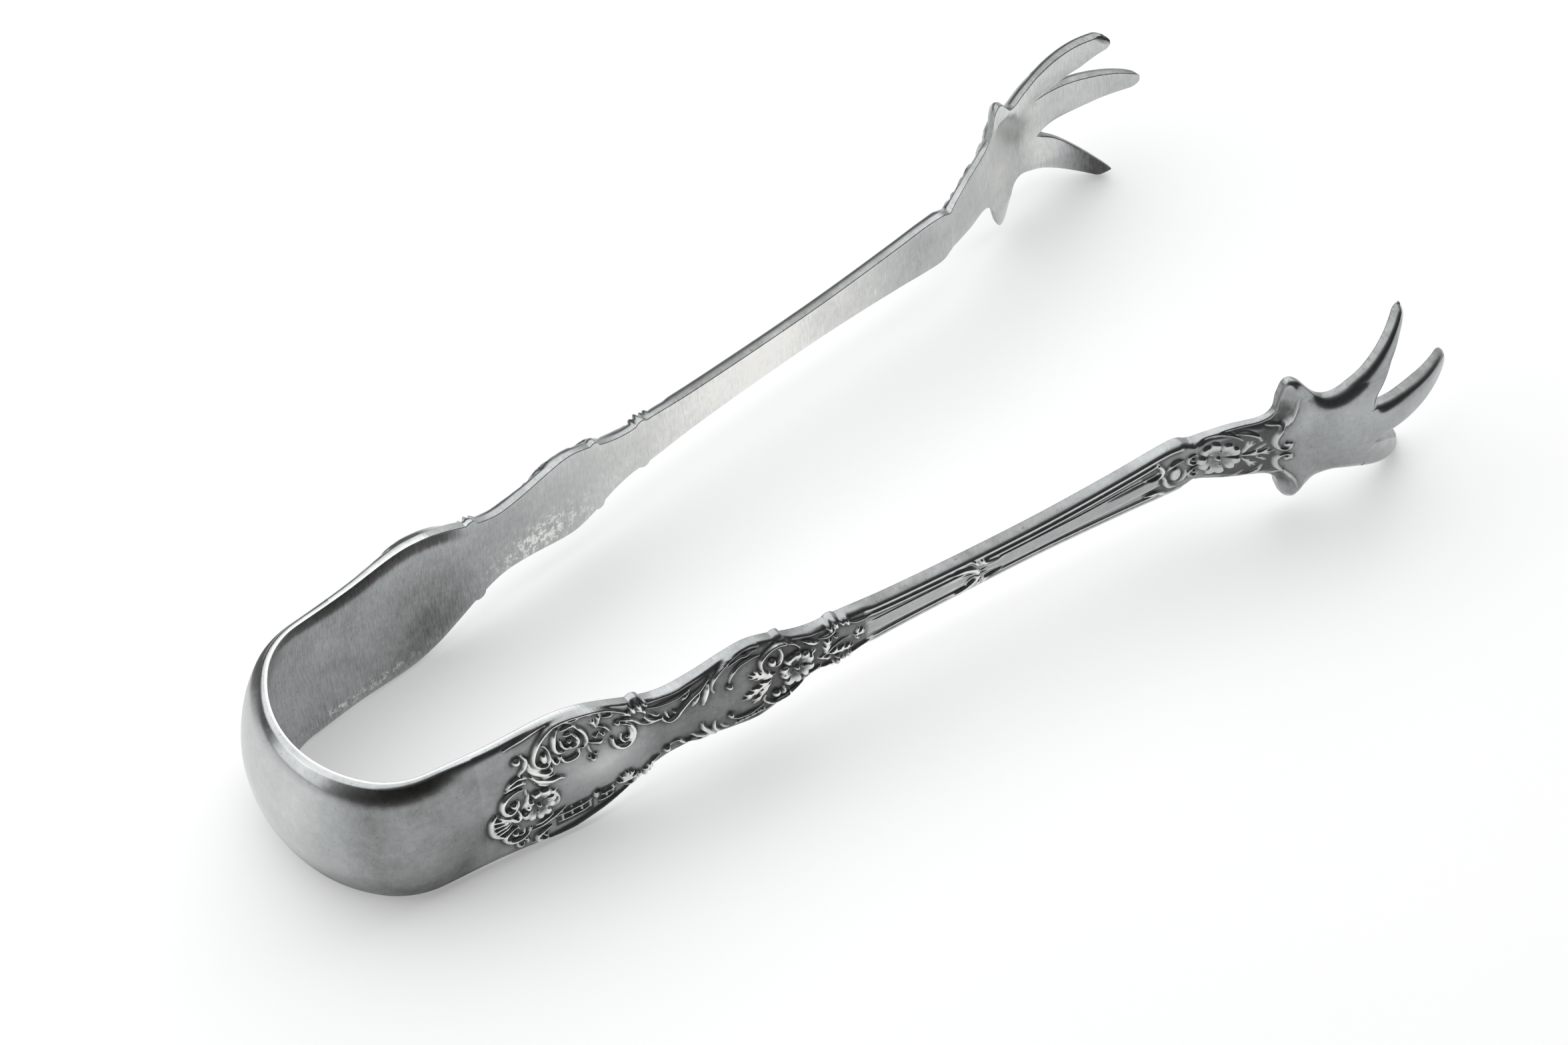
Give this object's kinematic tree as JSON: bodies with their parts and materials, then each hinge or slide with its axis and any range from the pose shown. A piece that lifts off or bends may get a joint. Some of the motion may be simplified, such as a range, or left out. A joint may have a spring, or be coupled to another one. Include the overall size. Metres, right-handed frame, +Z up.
{
  "type": "ice tongs",
  "caption": "Sprung one-strip ice tongs in tarnished silver plate, with scroll and rose ornament on the arms and a taloned claw on each.",
  "frame": {"origin": "middle of the footprint, on the surface that the tongs lie on", "axes": "+X from the bow towards the claws, +Y towards the far arm, +Z up, across the strip's width"},
  "size_m": [0.1814, 0.0806, 0.0308],
  "materials": {
    "silver_plate": "satin"
  },
  "bodies": {
    "bow": {"bow_crown": "silver_plate"},
    "near_arm": {"near_handle": "silver_plate", "near_shank": "silver_plate", "near_claw": "silver_plate"},
    "far_arm": {"far_handle": "silver_plate", "far_shank": "silver_plate", "far_claw": "silver_plate"}
  },
  "joints": [
    {"name": "near_flex", "type": "hinge", "parent": "bow", "child": "near_arm", "pos_m": [-0.08328, -0.0103, 0.01247], "axis": [-0.0176, 0, 0.9998], "range_deg": [-2, 11], "stiffness_Nm_per_rad": 8},
    {"name": "far_flex", "type": "hinge", "parent": "bow", "child": "far_arm", "pos_m": [-0.08328, 0.0103, 0.01247], "axis": [0.0176, 0, -0.9998], "range_deg": [-2, 11], "stiffness_Nm_per_rad": 8}
  ],
  "couplings": [
    {"joint": "far_flex", "follows": "near_flex", "ratio": 1}
  ]
}
